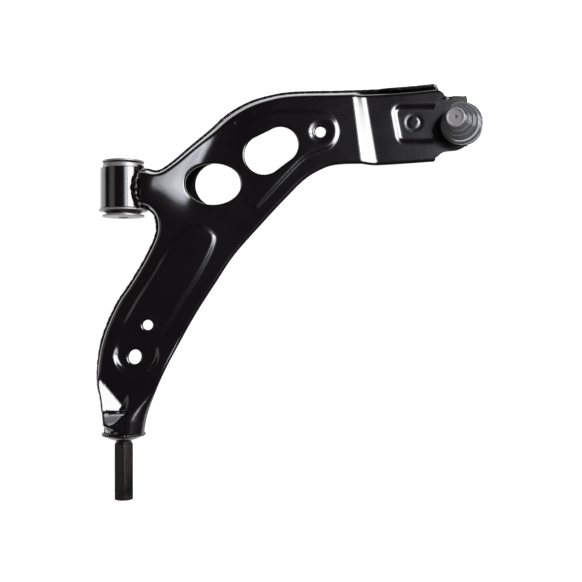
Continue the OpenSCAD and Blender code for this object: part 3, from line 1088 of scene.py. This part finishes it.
class ARM_OT_rear_pin(Make):
    """Build the hexagonal pin with its neck, and the domed collar"""
    bl_idname = "arm.rear_pin"
    bl_label = "Rear pin"

    def execute(self, context):
        flats, start, tip, turn = 19.0, 267.0, PIN_TIP, math.radians(10)
        corner = flats / math.sqrt(3)
        bm = bmesh.new()
        # distance from the bush axis, and the share of the corner radius that is left
        sections = [
            (start - 0.9, 0.8), (start, 0.94), (start + 1.6, 1.0), ((start + tip) / 2, 1.0),
            (tip - 2.4, 1.0), (tip - 0.6, 0.93), (tip, 0.82),
        ]
        rings = []
        per_side = 8
        for depth, share in sections:
            ring = []
            for k in range(6 * per_side):
                a = math.radians(60 * k / per_side)
                flat = flats / 2 / math.cos((a % math.radians(60)) - math.radians(30))
                r = min(flat, corner * 0.975, corner * share)
                ring.append(bm.verts.new(Vector((
                    r * math.sin(a + turn), -depth, r * math.cos(a + turn))) * MM))
            rings.append(ring)
        bridge(bm, rings, False)
        shade(bm, 14)
        piece = new_object("hexagon_pin", bm, "arm", "rear_pin")
        even_normals(piece)
        dress(piece, oiled_steel)
        neck = rounded([
            (0, 205, 0), (11.8, 205, 0.8), (11.8, 262.8, 0.6), (7.9, 263.4, 0.5), (7.6, 264.6, 0.6),
            (8.8, 265.2, 0.4), (8.8, 266.4, 0.4), (0, 266.4, 0),
        ])
        lathe("pin_shank", neck, BACK_Y, "arm", [], oiled_steel, 72)
        dome = [(11.85, 236), (19.1, 236)] + [
            (11.85 + 7.25 * math.cos(a), 256.2 + 6.2 * math.sin(a))
            for a in np.radians(np.linspace(0, 90, 12))
        ]
        lathe("domed_collar", dome, BACK_Y, "arm", ["pin_collar"], black_paint)
        return {"FINISHED"}


class ARM_OT_joint_housing(Make):
    """Build the ball joint's housing, closing plate and liner"""
    bl_idname = "arm.joint_housing"
    bl_label = "Joint housing"

    def execute(self, context):
        housing = rounded([
            (13.2, -20, 0.3), (15.2, -20, 1.0), (17.47, -17.6, 1.5), (17.47, -4.9, 0.3),
            (19.8, -4.9, 0.6), (19.8, -2, 0.8), (17.47, -2, 0.5), (17.47, 7, 1.2), (13, 7, 0.5),
            (9.6, 4.5, 0.4), (13.2, 4.5, 0),
        ])
        lathe("joint_housing_body", housing, ON_HOUSING, "arm", ["joint_housing"], dark_steel)
        plate = rounded([
            (0, -20, 0), (6, -20, 1.5), (8, -19, 1.0), (11, -19, 0.5), (13.1, -20, 0.4),
            (13.1, -16.6, 0.3), (0, -16.6, 0),
        ])
        lathe("closing_plate", plate, ON_HOUSING, "arm", ["joint_cover"], dark_steel)
        seat = [(5, -16.4), (13.1, -16.4), (13.1, 4.4), (10.35, 4.4)] + [
            (11.15 * math.cos(a), 11.15 * math.sin(a))
            for a in np.radians(np.linspace(16, -60, 16))
        ]
        lathe("bearing_liner", seat, ON_HOUSING, "arm", ["joint_liner"], liner_plastic, 72)
        return {"FINISHED"}


def dome_band(inner, outer, start, end, folds, depth, count=28):
    """A profile of a hollow ball between two angles from its axis, with rippled folds."""
    angles = np.linspace(math.radians(start), math.radians(end), count)
    wave = depth * np.cos(np.linspace(0, 2 * math.pi * folds, count))
    outside = [((outer - depth + w) * math.sin(a), (outer - depth + w) * math.cos(a))
               for a, w in zip(angles, wave)]
    within = [((inner + depth + w) * math.sin(a), (inner + depth + w) * math.cos(a))
              for a, w in zip(angles, wave)]
    return outside + within[::-1]


class ARM_OT_boot(Make):
    """Build the rubber boot in its nested folds, with the rings that hold it"""
    bl_idname = "arm.boot"
    bl_label = "Boot"

    def execute(self, context):
        base = rounded([(13.2, 7.05, 0.3), (16.4, 7.05, 0.3), (16.4, 9.4, 0.9), (13.2, 9.4, 0.6)])
        lathe("boot_base", base, ON_HOUSING, "arm", ["boot_base_ring"], black_rubber)
        ring = rounded([(16.45, 7.1, 0.3), (17.2, 7.1, 0.3), (17.2, 8.7, 0.35), (16.45, 8.7, 0.3)])
        lathe("boot_clamp", ring, ON_HOUSING, "arm", ["boot_clamp_ring"], zinc_plate)
        fold = dome_band(19.8, 21, 36, 60, 2, 0.2)
        lathe("boot_outer_fold", fold, ON_STUD, "boot_middle", ["boot_lower_fold"], black_rubber)
        top = dome_band(21.5, 22.7, 28, 50, 1, 0.15)
        collar = [(8.95, 20.2), (8.95, 22.6), (9.4, 23.1), (10.9, 23.1), (11.2, 22.6), (11.2, 21.2)]
        lathe("boot_top_fold", collar + top, ON_STUD, "boot_top", ["boot_upper_fold"],
              black_rubber)
        clip = rounded([
            (11.25, 21.7, 0.25), (12.1, 21.7, 0.3), (12.1, 22.9, 0.4), (11.25, 22.9, 0.3),
        ])
        lathe("boot_clip", clip, ON_STUD, "boot_top", ["boot_neck_clip"], zinc_plate)
        return {"FINISHED"}


class ARM_OT_ball_stud(Make):
    """Turn the ball stud with its taper and cut thread"""
    bl_idname = "arm.ball_stud"
    bl_label = "Ball stud"

    def execute(self, context):
        ball = [(11 * math.sin(a), -11 * math.cos(a)) for a in np.radians(np.linspace(0, 153, 30))]
        shank = [(5, 13), (5.5, 17), (8.3, 22.6), (8.4, 23.2), (8.4, 25), (7, 35.9), (6, 36.1)]
        thread = []
        pitch, height, thread_end = 1.5, 36.6, 48
        while height < thread_end:
            thread += [(5.2, height), (6, height + pitch * 0.4), (6, height + pitch * 0.6)]
            height += pitch
        end = [(5.2, 48.3), (4.6, 49), (0, 49)]
        lathe("turned_ball_stud", ball + shank + thread + end, ON_STUD, "stud", ["ball_stud"],
              ground_steel, 72)
        return {"FINISHED"}


class ARM_OT_transport_cap(Make):
    """Mould the stepped translucent cap that covers the stud and boot"""
    bl_idname = "arm.transport_cap"
    bl_label = "Transport cap"

    def execute(self, context):
        wall = 1.5
        outside = [
            (22.2, 15, 0.5), (22.2, 17, 0.7), (20.4, 17.4, 0.7), (19.6, 26.2, 1.2),
            (16.5, 27, 0.8), (15.9, 33.6, 1.0), (13, 34.3, 0.8), (12.4, 41.6, 0.9),
            (9.8, 42.4, 0.7), (9.5, 52, 0.8), (7.9, 52, 0.4), (7.6, 51.2, 0.4), (2.2, 51.0, 0.3),
            (1.6, 50.2, 0.3), (0, 50.1, 0),
        ]
        within = [
            (0, 49.4, 0), (7.9, 49.6, 0.6), (8.3, 41, 0.5), (11.3, 40.2, 0.6), (11.6, 33, 0.5),
            (14.6, 32.2, 0.6), (15, 25.6, 0.5), (18.2, 24.8, 0.6), (18.9, 16.2, 0.6),
            (22.2 - wall, 15.6, 0.4), (22.2 - wall, 15, 0.2),
        ]
        lathe("moulded_transport_cap", rounded(outside + within, 3), ON_STUD, "cap",
              ["transport_cap"], cap_plastic)
        return {"FINISHED"}


def area_light(name, lean, turn, distance, wide, high, power, tint=(1, 1, 1)):
    """A soft box facing the arm, lean degrees off the vertical and turned from the X axis."""
    data = bpy.data.lights.new(name, "AREA")
    data.shape = "RECTANGLE"
    data.size, data.size_y = wide, high
    data.energy = power
    data.color = tint
    light = bpy.data.objects.new(name, data)
    lean, turn = math.radians(lean), math.radians(turn)
    way = Vector((math.sin(lean) * math.cos(turn), math.sin(lean) * math.sin(turn), math.cos(lean)))
    light.location = STAGE_CENTRE + way * distance
    light.rotation_mode = "QUATERNION"
    light.rotation_quaternion = way.to_track_quat("Z", "Y")
    bpy.context.scene.collection.objects.link(light)
    return light


class ARM_OT_stage(Make):
    """Set the pale floor, the studio lights, the world and the camera"""
    bl_idname = "arm.stage"
    bl_label = "Stage"

    def execute(self, context):
        scene = context.scene
        bm = bmesh.new()
        bmesh.ops.create_grid(bm, x_segments=8, y_segments=8, size=6.0)
        mesh = bpy.data.meshes.new("floor")
        bm.to_mesh(mesh)
        bm.free()
        floor = bpy.data.objects.new("floor", mesh)
        floor.location = STAGE_CENTRE + Vector((0, 0, FLOOR_HEIGHT - 0.0005))
        scene.collection.objects.link(floor)
        floor.data.materials.append(pale_floor())

        world = bpy.data.worlds.new("studio")
        world.use_nodes = True
        background = world.node_tree.nodes["Background"].inputs
        background["Color"].default_value = (0.03, 0.027, 0.028, 1)
        background["Strength"].default_value = 1.0
        scene.world = world
        scene.view_settings.view_transform = "Standard"

        area_light("key_box", 43, 20, 1.6, 1.05, 0.9, 28)
        # three boards, brighter away from the vertical, make the soft shine of the neck
        for name, lean, high, power in (
            ("near_board", 15.4, 0.36, 5), ("middle_board", 19.5, 0.52, 16),
            ("far_board", 24.8, 0.58, 28),
        ):
            area_light(name, lean, 10, 6.0, 2.2, high, power, (0.9, 0.93, 1.0))
        area_light("side_board", -52, 0, 1.8, 1.2, 0.8, 1.3, (1.0, 0.94, 0.9))

        camera = bpy.data.objects.new("camera", bpy.data.cameras.new("camera"))
        lean, roll, height = math.radians(1.2), math.radians(-0.3), 1.0
        centre = Vector((0.1757, -0.1082, 0))
        camera.location = centre + Vector((0, -math.sin(lean), math.cos(lean))) * height
        camera.rotation_euler = (lean, 0, roll)
        camera.data.lens = 58.9
        camera.data.sensor_width = 36
        camera.data.clip_start = 0.05
        scene.collection.objects.link(camera)
        scene.camera = camera
        return {"FINISHED"}


PIECES = (
    ARM_OT_upper_shell, ARM_OT_lower_shell, ARM_OT_seam_welds, ARM_OT_eye_tube,
    ARM_OT_front_bush, ARM_OT_rear_pin, ARM_OT_joint_housing, ARM_OT_boot,
    ARM_OT_ball_stud, ARM_OT_transport_cap, ARM_OT_stage,
)


class ARM_PT_panel(bpy.types.Panel):
    """Lists the sizes, finishes and pieces of the control arm"""
    bl_idname = "ARM_PT_panel"
    bl_label = "Control arm"
    bl_space_type = "VIEW_3D"
    bl_region_type = "UI"
    bl_category = "Control arm"

    def draw(self, context):
        for group_of in (context.scene.arm_sizes, context.scene.arm_finishes):
            box = self.layout.box()
            for name in group_of.__annotations__:
                box.prop(group_of, name)
        for piece in PIECES:
            self.layout.operator(piece.bl_idname)


CLASSES = (ArmSizes, ArmFinishes, *PIECES, ARM_PT_panel)


def register():
    for cls in CLASSES:
        bpy.utils.register_class(cls)
    bpy.types.Scene.arm_sizes = bpy.props.PointerProperty(type=ArmSizes)
    bpy.types.Scene.arm_finishes = bpy.props.PointerProperty(type=ArmFinishes)


def unregister():
    del bpy.types.Scene.arm_finishes
    del bpy.types.Scene.arm_sizes
    for cls in reversed(CLASSES):
        bpy.utils.unregister_class(cls)


def main():
    register()
    for piece in PIECES:
        area, name = piece.bl_idname.split(".")
        getattr(getattr(bpy.ops, area), name)()
    bpy.context.view_layer.update()


if __name__ == "__main__":
    main()
